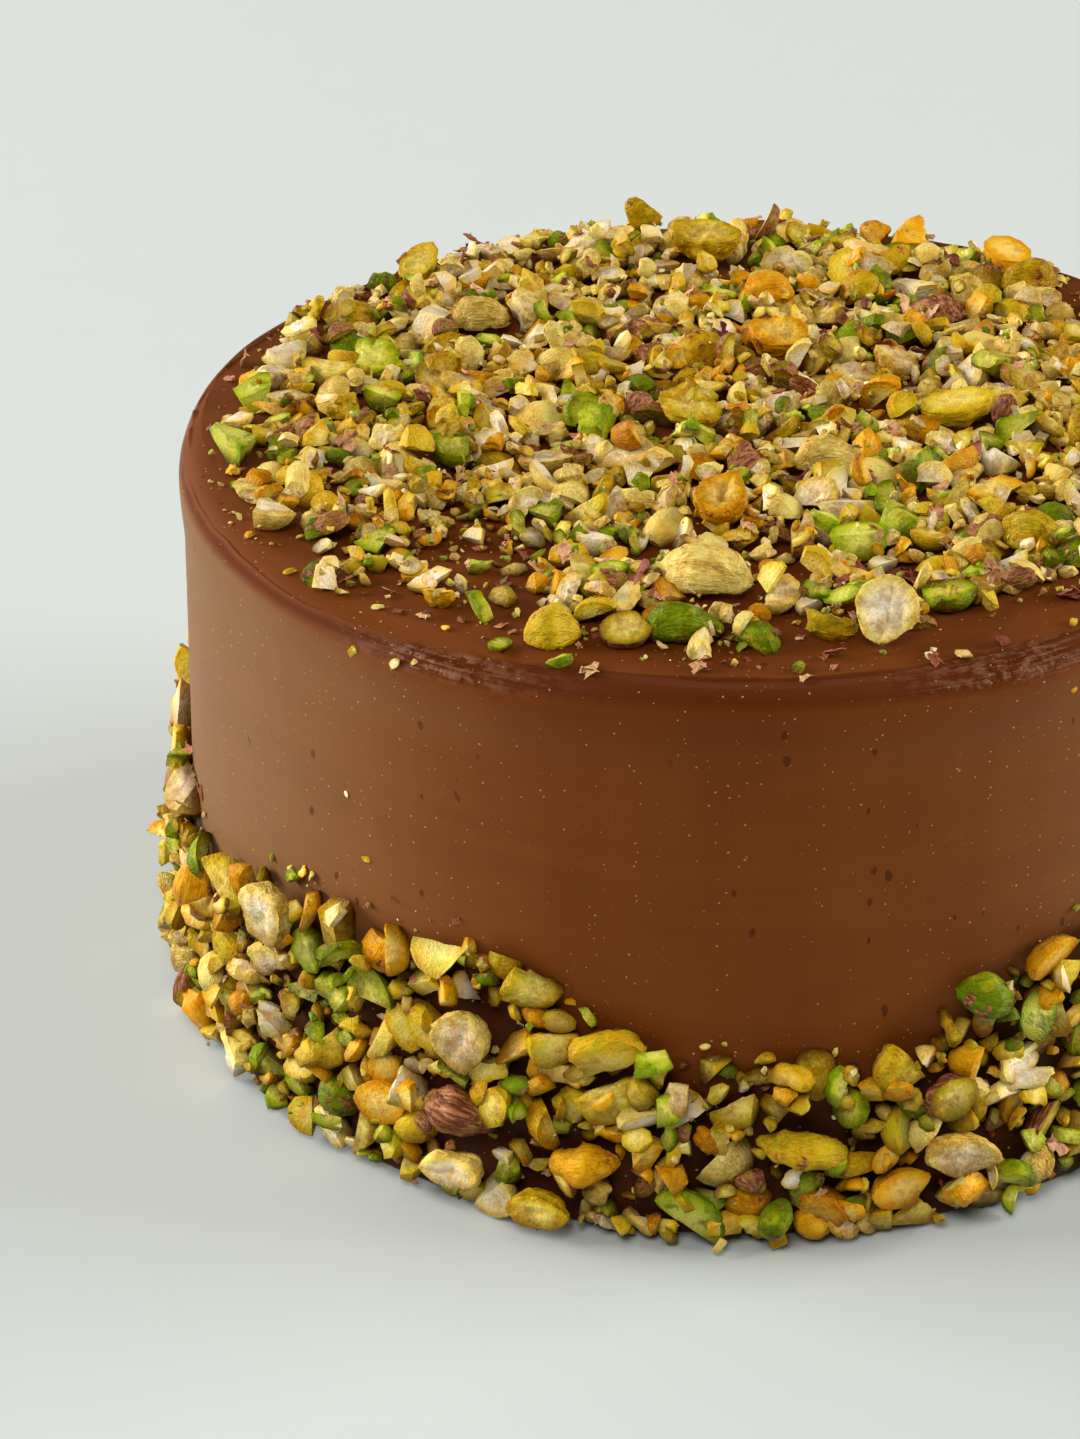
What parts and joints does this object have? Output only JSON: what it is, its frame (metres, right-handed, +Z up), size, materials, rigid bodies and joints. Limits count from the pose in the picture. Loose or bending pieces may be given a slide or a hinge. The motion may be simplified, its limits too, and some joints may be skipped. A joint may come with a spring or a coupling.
{
  "type": "pistachio cake",
  "caption": "Round uncut cake in smooth chocolate frosting, with chopped pistachios over its top and pressed round its foot.",
  "frame": {"origin": "middle of the cake's flat foot, on the surface it stands on", "axes": "+Z up through the middle of the cake, front of the cake towards -Y"},
  "size_m": [0.2184, 0.2184, 0.1178],
  "materials": {
    "chocolate_frosting": "satin milk chocolate frosting, spread smooth",
    "pistachio": "chopped pistachios, matte, green to gold with some purple skin",
    "pistachio_kernel": "pistachio halves, matte, pale yellow to green"
  },
  "bodies": {
    "root": {"frosted_cake": "chocolate_frosting", "nut_topping": "pistachio", "nut_border": "pistachio", "top_half_01": "pistachio_kernel", "top_half_02": "pistachio_kernel", "top_half_03": "pistachio_kernel", "top_half_04": "pistachio_kernel", "top_half_05": "pistachio_kernel", "top_half_06": "pistachio_kernel", "top_half_07": "pistachio_kernel", "top_half_08": "pistachio_kernel", "top_half_09": "pistachio_kernel", "top_half_10": "pistachio_kernel", "top_half_11": "pistachio_kernel", "top_half_12": "pistachio_kernel", "top_half_13": "pistachio_kernel", "top_half_14": "pistachio_kernel", "side_half_01": "pistachio_kernel", "side_half_02": "pistachio_kernel", "side_half_03": "pistachio_kernel", "side_half_04": "pistachio_kernel", "side_half_05": "pistachio_kernel", "side_half_06": "pistachio_kernel", "side_half_07": "pistachio_kernel", "side_half_08": "pistachio_kernel", "side_half_09": "pistachio_kernel", "side_half_10": "pistachio_kernel", "side_half_11": "pistachio_kernel", "side_half_12": "pistachio_kernel", "side_half_13": "pistachio_kernel", "side_half_14": "pistachio_kernel", "side_half_15": "pistachio_kernel", "side_half_16": "pistachio_kernel", "side_half_17": "pistachio_kernel", "side_half_18": "pistachio_kernel"}
  },
  "joints": []
}
